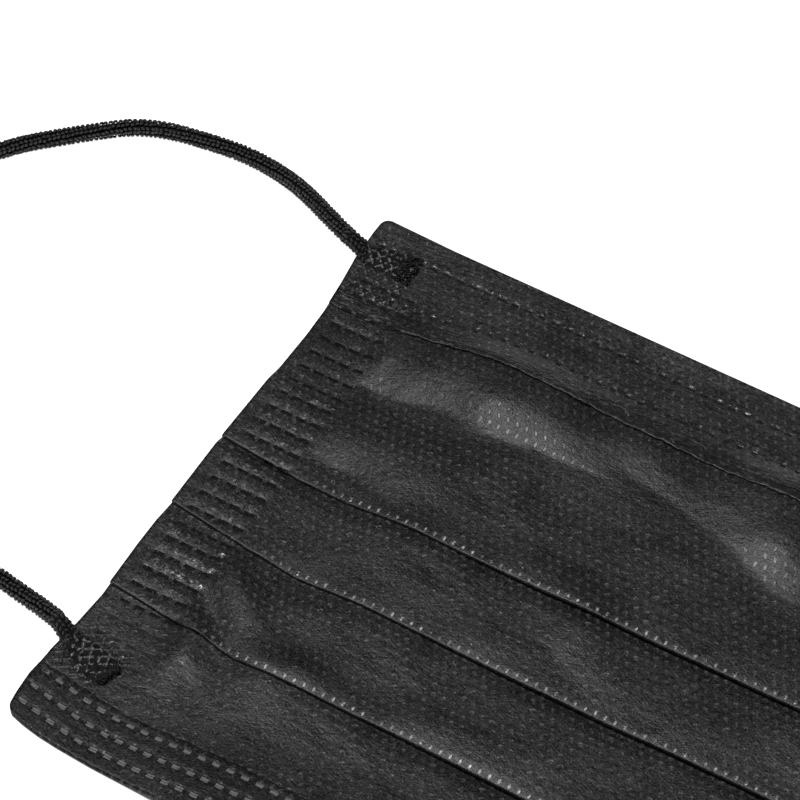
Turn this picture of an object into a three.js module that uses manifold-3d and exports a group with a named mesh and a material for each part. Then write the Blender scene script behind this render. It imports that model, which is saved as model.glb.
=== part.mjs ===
// A disposable pleated mask, lying flat with its outer face up.
//
// Millimetres. X runs along the nose edge, Y from the chin edge to the nose edge, and Z up from the
// surface that the mask lies on. The origin is on that surface, under the middle of the mask.

import * as THREE from "three";
import { mergeVertices } from "three/addons/utils/BufferGeometryUtils.js";
import Module from "manifold-3d";

// Driving dimensions
const LENGTH = 175;
const HEIGHT = 95;
const CLOTH = 1;
const GAP = 0.3;
const PLEAT_DEPTH = 10.5;
const SIDE_BAND = 13;
const NOSE_HEM = 16.2;
const CHIN_HEM = 9.3;
const CORD_DIAMETER = 2.3;

// Distances that follow from them
const HALF_LENGTH = LENGTH / 2;
const HALF_HEIGHT = HEIGHT / 2;
const LAYER = CLOTH + GAP;
const FIRST_LAYER = CLOTH / 2;
const TURN = LAYER / 2 + CLOTH / 2;
const HEM_LIP = 2 * TURN;
const HEM_TOP = LAYER + CLOTH;
const BODY_EDGE = HALF_HEIGHT - HEM_LIP - GAP;
const NOSE_RAW_EDGE = HALF_HEIGHT - NOSE_HEM;
const CHIN_RAW_EDGE = CHIN_HEM - HALF_HEIGHT;
const BAND_INNER = HALF_LENGTH - SIDE_BAND;

// The three pleats, from the nose down. Each row gives the height of the fold's edge at the side of the mask,
// where the band ends and in the open cloth, and how far the layer under it has risen there.
const PLEATS = [
  { name: "upper", atSide: 4.5, atBand: 3.2, open: 2.6, rise: 1.0 },
  { name: "middle", atSide: -8.0, atBand: -9.8, open: -10.8, rise: 1.0 },
  { name: "lower", atSide: -23.0, atBand: -24.4, open: -25.4, rise: 0.7 },
];

// A panel's knees: where the first one begins to rise to its pleat, how far before the pleat's inner fold a
// panel is level with it, and where the last one has come down again.
const FIRST_KNEE = { y: 24, rise: 0.9 };
const SHOULDER = 0.6;
const LAST_KNEE = { y: -31.5, rise: 0.2 };

// The body's gentle crown and the widths over which it rises from each hem, and how flat the pleats are
// pressed where they run into the side bands.
const CROWN = { height: 1.2, fromNose: 20, fromChin: 16 };
const PRESSED = 0.5;
const OPEN_FROM = 66;
const BAND_OVERLAP = 1;

// The welded side bands: one layer, three layers, and the grooves of the weld rows.
const BAND_SINGLE = 1.3;
const BAND_TRIPLE = 2.3;
const WELD_PITCH = 2.8;
const WELD_GROOVE = 0.3;
const WELD_FROM_SIDE = 3;
const WELD_TO_SIDE = 10.5;
const WELD_RUN_OUT = 1;
const BAND_RAMP = 0.4;
const BAND_STEP = 0.05;
const CORNER_RADIUS = 2;
const CORNER_CUTS = [0, 0.3 * CORNER_RADIUS, CORNER_RADIUS];

// The raised channel in the nose hem
const CHANNEL = { half: 58, runOut: 3, low: 37.6, high: 42.6, slope: 0.8, height: 0.6 };

const ARC_STEPS = 5;

// The ear loops' free stretches, from the nose end to the chin end, lying on the surface.
const LOOP_LEFT = [
  [-89.7, 41.2, 2.95],
  [-92.1, 42.15, 2.88],
  [-94.8, 43.4, 2.7],
  [-97.7, 44.8, 2.4],
  [-101.2, 46.3, 1.97],
  [-104.9, 47.4, 1.56],
  [-108.3, 48, 1.28],
  [-111.8, 48.1, 1.2],
  [-117, 47.5, 1.2],
  [-122.3, 46.5, 1.2],
  [-126.8, 44.6, 1.2],
  [-131.3, 41, 1.2],
  [-135.2, 37.4, 1.2],
  [-138.7, 33.9, 1.2],
  [-142.2, 29.1, 1.2],
  [-145.2, 23, 1.2],
  [-147.4, 15.5, 1.2],
  [-148.1, 7.2, 1.2],
  [-146.9, -1.2, 1.2],
  [-143.6, -9, 1.2],
  [-137.8, -15.8, 1.2],
  [-130, -21.3, 1.2],
  [-120.8, -25.4, 1.2],
  [-110.8, -28, 1.2],
  [-102, -29.4, 1.2],
  [-96.5, -30.35, 1.22],
  [-93.6, -30.9, 1.42],
  [-91.3, -31.5, 1.8],
  [-89.4, -32.05, 2],
];
const LOOP_RIGHT = [
  [89.7, 41.2, 2.95],
  [92.1, 42, 2.88],
  [94.9, 43, 2.7],
  [98.2, 44.1, 2.35],
  [102, 45.2, 1.85],
  [106.2, 46, 1.45],
  [110.6, 46.5, 1.22],
  [115.8, 46.4, 1.2],
  [122, 45.3, 1.2],
  [128, 43, 1.2],
  [133.4, 39.6, 1.2],
  [138, 35.3, 1.2],
  [141.8, 30, 1.2],
  [144.9, 23.6, 1.2],
  [147, 16.2, 1.2],
  [147.9, 8.2, 1.2],
  [147.2, 0, 1.2],
  [144.7, -7.9, 1.2],
  [140.2, -15, 1.2],
  [133.8, -20.9, 1.2],
  [125.8, -25.3, 1.2],
  [116.6, -28.2, 1.2],
  [107.4, -29.8, 1.2],
  [99, -30.6, 1.2],
  [94.5, -31, 1.4],
  [91.5, -31.6, 1.8],
  [89.4, -32, 2],
];

// The loops' flattened, welded ends: where the round cord comes in, where the cut end lies, and the top of
// the cloth under them.
const CORD_ENDS = [
  { name: "cord_end_nose_left", from: [-89, 41], to: [-79.2, 40.9], entry: 2.95, seat: HEM_TOP },
  { name: "cord_end_chin_left", from: [-89, -32.2], to: [-79.3, -35.4], entry: 2, seat: BAND_SINGLE },
  { name: "cord_end_nose_right", from: [89, 41], to: [79.2, 40.9], entry: 2.95, seat: HEM_TOP },
  { name: "cord_end_chin_right", from: [89, -32.1], to: [79.3, -35.2], entry: 2, seat: BAND_SINGLE },
];
// Sections along a flattened end, from the round cord to the cut: the distance from the round end as a share
// of the length, half the width, half the thickness, and how far the section has come down to its seat.
const FLATTENING = [
  { at: 0, half: CORD_DIAMETER / 2, thick: CORD_DIAMETER / 2, settled: 0 },
  { at: 0.1, half: 1.5, thick: 0.85, settled: 0.7 },
  { at: 0.3, half: 1.9, thick: 0.6, settled: 1 },
  { at: 0.75, half: 2.2, thick: 0.6, settled: 1 },
  { at: 0.88, half: 2.4, thick: 0.85, settled: 1 },
  { at: 0.97, half: 2.2, thick: 0.8, settled: 1 },
  { at: 1, half: 1.6, thick: 0.45, settled: 1 },
];
const END_SIDES = 10;

// The cord's tube: sides to its section, and diameters to a step.
const CORD_SIDES = 8;
const CORD_STEP = 2.5;

const BLACK_CLOTH = new THREE.MeshStandardMaterial({ color: 0x2c2c2d, roughness: 0.8, metalness: 0 });
const BLACK_HEM = new THREE.MeshStandardMaterial({ color: 0x28282a, roughness: 0.8, metalness: 0 });
const BLACK_CORD = new THREE.MeshStandardMaterial({ color: 0x161617, roughness: 0.9, metalness: 0 });
const WELDED_CORD = new THREE.MeshStandardMaterial({ color: 0x121213, roughness: 0.6, metalness: 0 });

const wasm = await Module();
wasm.setup();

const lerp = THREE.MathUtils.lerp;
const smoothstep = THREE.MathUtils.smoothstep;

// Points on an arc about a centre, both ends included, with angles in degrees from +Y towards +Z.
function arc(centreY, centreZ, radius, fromAngle, toAngle) {
  const points = [];
  for (let i = 0; i <= ARC_STEPS; i++) {
    const angle = THREE.MathUtils.degToRad(lerp(fromAngle, toAngle, i / ARC_STEPS));
    points.push([centreY + radius * Math.cos(angle), centreZ + radius * Math.sin(angle)]);
  }
  return points;
}

// The closed outline of a strip of cloth that follows a line of [y, z] points at half its thickness.
function thicken(path, thickness) {
  const left = [];
  const right = [];
  for (let i = 0; i < path.length; i++) {
    const before = path[Math.max(i - 1, 0)];
    const after = path[Math.min(i + 1, path.length - 1)];
    const here = path[i];
    const into = new THREE.Vector2(here[0] - before[0], here[1] - before[1]).normalize();
    const out = new THREE.Vector2(after[0] - here[0], after[1] - here[1]).normalize();
    const along = into.clone().add(out).normalize();
    const bend = into.length() && out.length() ? Math.max(along.dot(out), 0.7) : 1;
    const offset = thickness / 2 / bend;
    left.push([here[0] - along.y * offset, here[1] + along.x * offset]);
    right.push([here[0] + along.y * offset, here[1] - along.x * offset]);
  }
  return left.concat(right.reverse());
}

// A ring's area vector, which is its normal: the ring runs anticlockwise about it.
function ringNormal(ring) {
  const normal = new THREE.Vector3();
  ring.forEach((point, i) => {
    const next = ring[(i + 1) % ring.length];
    normal.add(new THREE.Vector3().crossVectors(point, next));
  });
  return normal.normalize();
}

// The triangles that close a flat ring, wound as the ring is.
function capTriangles(ring) {
  const normal = ringNormal(ring);
  const side = new THREE.Vector3(0, 0, 1).cross(normal).normalize();
  const up = normal.clone().cross(side);
  const flat = ring.map((point) => new THREE.Vector2(point.dot(side), point.dot(up)));
  return THREE.ShapeUtils.triangulateShape(flat, []).map(([a, b, c]) => {
    const turn = flat[b].clone().sub(flat[a]).cross(flat[c].clone().sub(flat[a]));
    return turn > 0 ? [a, b, c] : [a, c, b];
  });
}

// A closed solid through flat rings of equal count, each a list of THREE.Vector3.
function loft(sections) {
  const first = sections[0];
  const last = sections[sections.length - 1];
  const forward = last[0].clone().sub(first[0]).dot(ringNormal(first)) > 0;
  const rings = forward ? sections : sections.map((ring) => [...ring].reverse());
  const count = first.length;
  const positions = rings.flat().flatMap((point) => [point.x, point.y, point.z]);
  const indices = [];
  for (let r = 0; r + 1 < rings.length; r++) {
    for (let i = 0; i < count; i++) {
      const a = r * count + i;
      const b = r * count + ((i + 1) % count);
      indices.push(a, b, a + count, b, b + count, a + count);
    }
  }
  const end = (rings.length - 1) * count;
  for (const [a, b, c] of capTriangles(rings[0])) indices.push(a, c, b);
  for (const [a, b, c] of capTriangles(rings[rings.length - 1])) indices.push(end + a, end + b, end + c);
  const geometry = new THREE.BufferGeometry();
  geometry.setAttribute("position", new THREE.Float32BufferAttribute(positions, 3));
  geometry.setIndex(indices);
  return geometry;
}

// One ring across the mask, from an outline of [y, z] points.
function ringAcross(x, outline) {
  return outline.map(([y, z]) => new THREE.Vector3(x, y, z));
}

function solidFrom(geometry) {
  const merged = mergeVertices(geometry, 1e-4);
  return new wasm.Manifold(
    new wasm.Mesh({
      numProp: 3,
      vertProperties: merged.attributes.position.array,
      triVerts: new Uint32Array(merged.index.array),
    }),
  );
}

function geometryFrom(solid) {
  const mesh = solid.getMesh();
  const geometry = new THREE.BufferGeometry();
  geometry.setAttribute("position", new THREE.BufferAttribute(mesh.vertProperties, 3));
  geometry.setIndex(new THREE.BufferAttribute(mesh.triVerts, 1));
  return geometry;
}

// How far the hems and the body draw in from their long edges, at a distance from the side of the mask.
function cornerInset(fromSide) {
  const reach = Math.max(CORNER_RADIUS - fromSide, 0);
  return CORNER_RADIUS - Math.sqrt(CORNER_RADIUS ** 2 - reach ** 2);
}

// Where a pleat's folded edge lies at a place along the mask.
function foldY(pleat, x) {
  const away = Math.abs(x);
  if (away > BAND_INNER) {
    return lerp(pleat.atBand, pleat.atSide, (away - BAND_INNER) / SIDE_BAND);
  }
  return lerp(pleat.atBand, pleat.open, smoothstep(BAND_INNER - away, 0, BAND_INNER - OPEN_FROM));
}

// The crown that lifts the open cloth between the hems.
function crown(x, y) {
  const along = 1 - (x / BAND_INNER) ** 2;
  const noseSide = smoothstep(NOSE_RAW_EDGE - y, 0, CROWN.fromNose);
  const chinSide = smoothstep(y - CHIN_RAW_EDGE, 0, CROWN.fromChin);
  return CROWN.height * Math.max(along, 0) * noseSide * chinSide;
}

// The middle of the folded sheet, from the nose edge down to the chin edge. Each pleat is three layers:
// the panel above on top, the sheet turned back under it, and the start of the panel below.
function sheetPath(x) {
  const path = [
    [BODY_EDGE, FIRST_LAYER],
    [NOSE_RAW_EDGE, FIRST_LAYER],
    [FIRST_KNEE.y, FIRST_LAYER + FIRST_KNEE.rise],
  ];
  for (const pleat of PLEATS) {
    const edge = foldY(pleat, x);
    const inner = edge + PLEAT_DEPTH;
    const bottom = (y) => FIRST_LAYER + (pleat.rise * (inner - y)) / PLEAT_DEPTH;
    const middle = edge + PLEAT_DEPTH / 2;
    path.push([inner + SHOULDER, bottom(inner) + 2 * LAYER]);
    path.push([middle, bottom(middle) + 2 * LAYER]);
    path.push(...arc(edge + TURN, bottom(edge + TURN) + 1.5 * LAYER, LAYER / 2, 90, 270));
    path.push([middle, bottom(middle) + LAYER]);
    path.push(...arc(inner - TURN, bottom(inner - TURN) + LAYER / 2, LAYER / 2, 90, -90));
    path.push([middle, bottom(middle)]);
    path.push([edge, bottom(edge)]);
  }
  path.push([LAST_KNEE.y, FIRST_LAYER + LAST_KNEE.rise]);
  path.push([CHIN_RAW_EDGE, FIRST_LAYER], [-BODY_EDGE, FIRST_LAYER]);
  return path;
}

// The open, pleated cloth between the side bands, pressed flatter where it runs into them.
function pleatedCloth() {
  const reach = BAND_INNER + BAND_OVERLAP;
  const stations = [-reach, -OPEN_FROM, -44, -22, 0, 22, 44, OPEN_FROM, reach];
  const rings = stations.map((x) => {
    const press = lerp(1, PRESSED, smoothstep(Math.abs(x), OPEN_FROM, reach));
    const outline = thicken(sheetPath(x), CLOTH);
    return ringAcross(x, outline.map(([y, z]) => [y, z * press + crown(x, y)]));
  });
  return loft(rings);
}

// The stretches of a side band between the hems, from the nose down: one layer, then three at each pleat.
function bandZones(x) {
  const zones = [];
  let from = NOSE_RAW_EDGE - GAP;
  for (const pleat of PLEATS) {
    const edge = foldY(pleat, x);
    const inner = edge + PLEAT_DEPTH;
    zones.push({ from, to: inner + BAND_RAMP, top: BAND_SINGLE });
    zones.push({ from: inner - BAND_RAMP, to: edge, top: BAND_TRIPLE });
    from = edge - BAND_STEP;
  }
  zones.push({ from, to: CHIN_RAW_EDGE + GAP, top: BAND_SINGLE });
  return zones;
}

const BAND_ROWS = bandZones(BAND_INNER).map((zone) => Math.round((zone.from - zone.to) / WELD_PITCH));

// The top of a side band from the nose edge to the chin edge: its weld rows are grooves, and it steps down at
// each fold. A groove depth of 0 gives the plain margins beside the rows.
function bandTop(x, edgeY, groove) {
  const top = [
    [edgeY, CLOTH],
    [NOSE_RAW_EDGE, CLOTH],
  ];
  bandZones(x).forEach((zone, i) => {
    const rows = BAND_ROWS[i];
    for (let row = 0; row < rows; row++) {
      top.push([lerp(zone.from, zone.to, row / rows), zone.top]);
      top.push([lerp(zone.from, zone.to, (row + 0.5) / rows), zone.top - groove]);
    }
    top.push([zone.to, zone.top]);
  });
  top.push([CHIN_RAW_EDGE, CLOTH], [-edgeY, CLOTH]);
  return top;
}

// Distances from the side of the mask at which a band is cut across, and how deep its weld rows are there.
const BAND_CUTS = [
  ...CORNER_CUTS.map((fromSide) => ({ fromSide, groove: 0 })),
  { fromSide: WELD_FROM_SIDE, groove: WELD_GROOVE },
  { fromSide: WELD_TO_SIDE, groove: WELD_GROOVE },
  { fromSide: WELD_TO_SIDE + WELD_RUN_OUT, groove: 0 },
  { fromSide: SIDE_BAND, groove: 0 },
];

function sideBand(side) {
  const rings = BAND_CUTS.map(({ fromSide, groove }) => {
    const x = side * (HALF_LENGTH - fromSide);
    const edgeY = BODY_EDGE - cornerInset(fromSide);
    const outline = [[edgeY, 0], ...bandTop(x, edgeY, groove), [-edgeY, 0]];
    return ringAcross(x, outline);
  });
  return loft(rings);
}

// The whole folded sheet: its open cloth, fused with a band at each side.
function pleatedBody() {
  const bands = [-1, 1].map((side) => solidFrom(sideBand(side)));
  const cloth = solidFrom(pleatedCloth());
  return geometryFrom(cloth.add(bands[0]).add(bands[1]));
}

// A hem: a leaf on the outer face that turns round the edge and meets the body's own edge underneath.
// The direction is +1 at the nose and -1 at the chin.
function hem(direction, rawEdge, channel) {
  const corner = CORNER_CUTS.map((fromSide) => HALF_LENGTH - fromSide);
  const swell = channel ? [channel.half + channel.runOut, channel.half] : [];
  const half = [...corner, ...swell];
  const stations = [...half.map((x) => -x), ...half.reverse()];
  const leafZ = FIRST_LAYER + LAYER;
  const rings = stations.map((x) => {
    const edge = HALF_HEIGHT - cornerInset(HALF_LENGTH - Math.abs(x));
    const path = [[Math.abs(rawEdge), leafZ]];
    if (channel) {
      const lift = Math.abs(x) <= channel.half ? channel.height : 0;
      path.push([channel.low, leafZ], [channel.low + channel.slope, leafZ + lift]);
      path.push([channel.high - channel.slope, leafZ + lift], [channel.high, leafZ]);
    }
    path.push(...arc(edge - TURN, TURN, LAYER / 2, 90, -90), [edge - HEM_LIP, FIRST_LAYER]);
    return ringAcross(x, thicken(path, CLOTH).map(([y, z]) => [direction * y, z]));
  });
  return loft(rings);
}

// A loop's round cord, from one welded end to the other.
function cord(route) {
  const curve = new THREE.CatmullRomCurve3(route.map((point) => new THREE.Vector3(...point)));
  const section = new THREE.Shape();
  for (let i = 0; i < CORD_SIDES; i++) {
    const angle = (2 * Math.PI * (i + 0.5)) / CORD_SIDES;
    const place = [(CORD_DIAMETER / 2) * Math.cos(angle), (CORD_DIAMETER / 2) * Math.sin(angle)];
    if (i) section.lineTo(...place);
    else section.moveTo(...place);
  }
  section.closePath();
  const steps = Math.round(curve.getLength() / (CORD_STEP * CORD_DIAMETER));
  return new THREE.ExtrudeGeometry(section, { steps, extrudePath: curve, curveSegments: 1 });
}

// A loop's flattened end, welded on the outer face: round where the cord comes in, then wide and flat, with a
// thicker lip at the cut.
function cordEnd({ from, to, entry, seat }) {
  const start = new THREE.Vector2(...from);
  const along = new THREE.Vector2(...to).sub(start);
  const across = new THREE.Vector2(-along.y, along.x).normalize();
  const rings = FLATTENING.map(({ at, half, thick, settled }) => {
    const centre = start.clone().addScaledVector(along, at);
    const z = lerp(entry, seat + GAP + thick, settled);
    return Array.from({ length: END_SIDES }, (_, i) => {
      const angle = (2 * Math.PI * i) / END_SIDES;
      const place = centre.clone().addScaledVector(across, half * Math.cos(angle));
      return new THREE.Vector3(place.x, place.y, z + thick * Math.sin(angle));
    });
  });
  return loft(rings);
}

function piece(name, geometry, material) {
  const mesh = new THREE.Mesh(geometry, material);
  mesh.name = name;
  return mesh;
}

const mask = new THREE.Group();
mask.name = "surgical_mask";
mask.add(piece("pleated_body", pleatedBody(), BLACK_CLOTH));
mask.add(piece("nose_hem", hem(1, NOSE_RAW_EDGE, CHANNEL), BLACK_HEM));
mask.add(piece("chin_hem", hem(-1, CHIN_RAW_EDGE, null), BLACK_HEM));
for (const end of CORD_ENDS) mask.add(piece(end.name, cordEnd(end), WELDED_CORD));
mask.add(piece("ear_loop_left", cord(LOOP_LEFT), BLACK_CORD));
mask.add(piece("ear_loop_right", cord(LOOP_RIGHT), BLACK_CORD));

export default mask;
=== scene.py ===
"""A black, pleated, disposable mask lying flat with its outer face up: its looks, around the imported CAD.

The tables and the geometry functions work in millimetres, and a mesh is scaled to metres when it is made.
X runs along the nose edge, Y from the chin edge to the nose edge, and Z up from the surface it lies on.
"""

import math
from functools import partial
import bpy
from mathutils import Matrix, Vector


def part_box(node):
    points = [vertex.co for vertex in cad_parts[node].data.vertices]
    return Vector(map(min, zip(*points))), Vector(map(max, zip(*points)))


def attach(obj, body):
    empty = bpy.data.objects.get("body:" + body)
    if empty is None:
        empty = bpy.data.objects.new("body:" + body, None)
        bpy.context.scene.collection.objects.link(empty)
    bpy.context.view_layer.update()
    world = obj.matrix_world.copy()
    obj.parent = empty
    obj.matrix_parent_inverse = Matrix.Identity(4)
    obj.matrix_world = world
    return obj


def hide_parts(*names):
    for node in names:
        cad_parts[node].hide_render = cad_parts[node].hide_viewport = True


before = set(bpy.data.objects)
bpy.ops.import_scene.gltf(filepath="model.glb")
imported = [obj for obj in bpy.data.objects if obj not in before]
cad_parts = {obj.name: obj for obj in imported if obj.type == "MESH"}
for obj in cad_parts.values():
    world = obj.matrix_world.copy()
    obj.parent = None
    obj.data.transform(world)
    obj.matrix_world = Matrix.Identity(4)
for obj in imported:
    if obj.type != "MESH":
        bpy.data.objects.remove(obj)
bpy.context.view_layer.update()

from types import SimpleNamespace as Sizes

import bpy
import numpy as np
from mathutils import Matrix, Vector

MM = 0.001


def node_box(node):
    """A CAD node's lowest and highest corners, in millimetres."""
    low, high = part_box(node)
    return low / MM, high / MM


# Sizes read from the frame
BODY_HIGH = node_box("pleated_body")[1]
NOSE_LOW, NOSE_HIGH = node_box("nose_hem")
CHIN_LOW, CHIN_HIGH = node_box("chin_hem")
HALF_LENGTH = BODY_HIGH.x
BODY_EDGE = BODY_HIGH.y
NOSE_EDGE = NOSE_HIGH.y
NOSE_RAW_EDGE = NOSE_LOW.y
CHIN_EDGE = CHIN_LOW.y
CHIN_RAW_EDGE = CHIN_HIGH.y
SIDE_BAND = 13
BAND_INNER = HALF_LENGTH - SIDE_BAND
HEM_LIP = 2.3

# The ear loops' routes, as the CAD tubes have them.
LOOP_LEFT = [
    (-89.7, 41.2, 2.95), (-92.1, 42.15, 2.88), (-94.8, 43.4, 2.7), (-97.7, 44.8, 2.4), (-101.2, 46.3, 1.97),
    (-104.9, 47.4, 1.56), (-108.3, 48, 1.28), (-111.8, 48.1, 1.2), (-117, 47.5, 1.2), (-122.3, 46.5, 1.2),
    (-126.8, 44.6, 1.2), (-131.3, 41, 1.2), (-135.2, 37.4, 1.2), (-138.7, 33.9, 1.2), (-142.2, 29.1, 1.2),
    (-145.2, 23, 1.2), (-147.4, 15.5, 1.2), (-148.1, 7.2, 1.2), (-146.9, -1.2, 1.2), (-143.6, -9, 1.2),
    (-137.8, -15.8, 1.2), (-130, -21.3, 1.2), (-120.8, -25.4, 1.2), (-110.8, -28, 1.2), (-102, -29.4, 1.2),
    (-96.5, -30.35, 1.22), (-93.6, -30.9, 1.42), (-91.3, -31.5, 1.8), (-89.4, -32.05, 2),
]
LOOP_RIGHT = [
    (89.7, 41.2, 2.95), (92.1, 42, 2.88), (94.9, 43, 2.7), (98.2, 44.1, 2.35), (102, 45.2, 1.85),
    (106.2, 46, 1.45), (110.6, 46.5, 1.22), (115.8, 46.4, 1.2), (122, 45.3, 1.2), (128, 43, 1.2),
    (133.4, 39.6, 1.2), (138, 35.3, 1.2), (141.8, 30, 1.2), (144.9, 23.6, 1.2), (147, 16.2, 1.2),
    (147.9, 8.2, 1.2), (147.2, 0, 1.2), (144.7, -7.9, 1.2), (140.2, -15, 1.2), (133.8, -20.9, 1.2),
    (125.8, -25.3, 1.2), (116.6, -28.2, 1.2), (107.4, -29.8, 1.2), (99, -30.6, 1.2), (94.5, -31, 1.4),
    (91.5, -31.6, 1.8), (89.4, -32, 2),
]
CORD_DIAMETER = 2.3
CORD_STEP = 0.5

# The knitted cover of a cord stands proud of a round core. It has columns of stitches, each a V of two short
# legs, whose ends are thinner and lie deeper.
KNIT = Sizes(columns=6, pitch=0.66, leg_length=0.56, leg_radius=0.19, spread_from=0.22, spread_to=0.36,
             uneven=0.1, sway=0.07, loose=0.015, turn_every=150, proud=0.13, core=0.73, core_sides=12)
LEG = {"at": [0.0, 0.22, 0.7, 1.0], "swell": [0.75, 1.0, 1.0, 0.75], "sunk": [0.1, 0.0, 0.0, 0.1]}

# The loops' flattened, welded ends, from the loop to the cut end, with the top of the cloth there. The knit
# runs on over the first part of each, and the cut end is a tuft of strands. The welding tool's imprint in the
# cloth reaches further to the chin side of the nose ends.
NOSE_END = {"tuft_from": 0.76, "tuft_half": 2.4, "imprint": (-7.2, 3.8)}
CHIN_END = {"tuft_from": 0.87, "tuft_half": 1.6, "imprint": (-3.8, 3.8)}
CORD_ENDS = [
    Sizes(name="cord_end_nose_left", start=LOOP_LEFT[0], cut=(-79.3, 41.7), seat=0.8, **NOSE_END),
    Sizes(name="cord_end_chin_left", start=LOOP_LEFT[-1], cut=(-79.3, -35.4), seat=0.54, **CHIN_END),
    Sizes(name="cord_end_nose_right", start=LOOP_RIGHT[0], cut=(79.3, 41.7), seat=0.8, **NOSE_END),
    Sizes(name="cord_end_chin_right", start=LOOP_RIGHT[-1], cut=(79.3, -35.2), seat=0.54, **CHIN_END),
]
# At places along an end: its half width, its half thickness, and how far it has come down onto the cloth
FLATTENING = {
    "at": [0.0, 0.12, 0.25, 0.4, 0.55, 0.8, 0.9, 1.0],
    "half": [1.15, 1.25, 1.5, 1.9, 2.2, 2.3, 2.3, 1.7],
    "thick": [1.15, 1.0, 0.75, 0.42, 0.3, 0.3, 0.45, 0.25],
    "settled": [0.0, 0.35, 0.75, 1.0, 1.0, 1.0, 1.0, 1.0],
}
PAD = Sizes(overlap=0.09, rings=109, sides=56, knit_until=0.5, knit_over=0.05, knit_sinks=0.25,
            knit_proud=0.12)
LATTICE = Sizes(cell=1.2, rib=0.16, height=0.12, along=0.77, across=0.64)
IMPRINT = Sizes(start=2.6, stop=10.2, soft=1.6, soft_across=1.8)
TUFT = Sizes(strands=110, length=0.85, radius=0.13, height=0.55, turned=0.7, splayed=0.4, tilted=0.25)

# The three pleats, from the nose down: the place of each fold's edge at the mask's side, where the band ends
# and in the open cloth.
PLEATS = [
    Sizes(at_side=4.5, at_band=3.2, open=2.6),
    Sizes(at_side=-8.0, at_band=-9.8, open=-10.8),
    Sizes(at_side=-23.0, at_band=-24.4, open=-25.4),
]
PLEAT_DEPTH = 10.5
# Where the cloth is free of the side bands, and where it has risen to its full height
OPEN_FROM = 66
FULL_FROM = 56
# The cloth's thickness, the pitch of its layers in a pleat, and the levels of one and of three layers in the
# bands, which the first panel climbs between
CLOTH = 0.22
PITCH = Sizes(open=0.26, band=0.25)
BAND_LEVEL = Sizes(single=0.42, triple=1.0, climbs_from=19.0, climbs_to=15.2)
# How the cloth droops just above a fold's edge, and dips under it away from the sides, where the pleats gape
DROOP = Sizes(depth=0.1, width=0.5)
GAPE = Sizes(start=66, full=30, depth=0.5, half=1.4)

# How the first panel rises from under the nose hem: heights of the cloth's middle across it.
FIRST_PANEL = [(47.0, 0.42), (43.5, 0.5), (40.0, 1.0), (36.5, 1.6), (33.0, 2.15), (30.0, 2.6), (27.0, 2.8),
               (23.0, 2.85), (13.0, 2.8), (0.0, 3.0)]
# The second and third panels: the height at which each comes out from under the fold above it, and how far it
# falls by its own fold. The last panel's height, how far under its fold it settles, and its rise to the chin.
MIDDLE_PANELS = [Sizes(level=2.6, fall=0.2), Sizes(level=1.85, fall=0.25)]
LAST_PANEL = Sizes(level=0.95, settles_over=13)
CHIN_RISE = Sizes(start=-27, stop=-47, height=0.9)

# Soft swellings of the open cloth: the x, y and skew of each crest, its half widths along the mask and
# towards the nose, how far it runs down towards the chin, where it ends at a foot, and its height
BULGES = [
    (-72, 29, 0, 12, 8, 7.5, 1.4),
    (-61, 28.7, 0, 7, 8, 7, 0.75),
    (-51, 28.5, 0, 10, 8, 7, 1.15),
    (-35, 28.5, -0.25, 7, 6, 5, 0.6),
    (-17, 30.5, -0.3, 9, 8, 11.5, 1.6),
    (-69, 12, -0.1, 10, 5, 5.5, 0.85),
    (-31, 1, -0.6, 6, 4, 7, 0.5),
    (-72, -16, -0.8, 6.5, 3, 5.5, 1),
    (-72.5, -25, -0.9, 4.5, 2, 4, 0.9),
    (-60, -24.2, 0.05, 8, 3, 4.3, 0.8),
    (-35, -21.5, 0, 9, 3, 4.5, 0.4),
    (14, 27, 0, 12, 7, 8, 0.8),
    (44, 29, 0, 16, 7, 8, 1.1),
    (66, 12, 0, 9, 5, 6, 0.7),
    (20, -3, 0, 18, 4, 6, 0.4),
    (58, -17, 0, 14, 4, 6, 0.4),
]
RIPPLE = Sizes(height=0.12, waves=14, shortest=9, longest=34, seed=7)

# The outline: how far each edge lies outside its straight line, along that edge.
SIDE_OUTLINE = [(-47.5, 0.6), (-43, 1.15), (-40, 1.3), (-35, 1.05), (-30, 0.4), (-25, 0.0), (-16, 0.2),
                (-8, 0.12), (5, 0.12), (15, -0.18), (25, -0.5), (30, -0.42), (35, 0.0), (40, 0.6), (45, 0.75),
                (47.5, 0.7)]
NOSE_OUTLINE = [(0, -0.2), (24, -0.1), (60, 0.3), (77, 0.45), (87.5, 0.85)]
CHIN_OUTLINE = [(0, -0.6), (66, -0.6), (75, -0.3), (80, 0.0), (83, 0.3), (85.5, 0.75), (87.5, 1.3)]
NOSE_RAW_OUTLINE = [(0, -0.5), (24, -0.4), (60, 0.4), (67, 0.3), (73, -0.1), (77, -0.3), (87.5, 0.0)]
CHIN_RAW_OUTLINE = [(0, -0.8), (68, -0.8), (75, -1.0), (86, 0.6), (87.5, 0.7)]
CORNER = 1.5

# The hems: the gap under their flap, the roll at the mask's edge, and the channel between the nose hem's two
# weld rows
HEM_LIFT = 0.27
ROLL = 0.35
CHANNEL = Sizes(half=58, run_out=8, low=37.2, high=41.6, slope=2.0, height=0.22)

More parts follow.
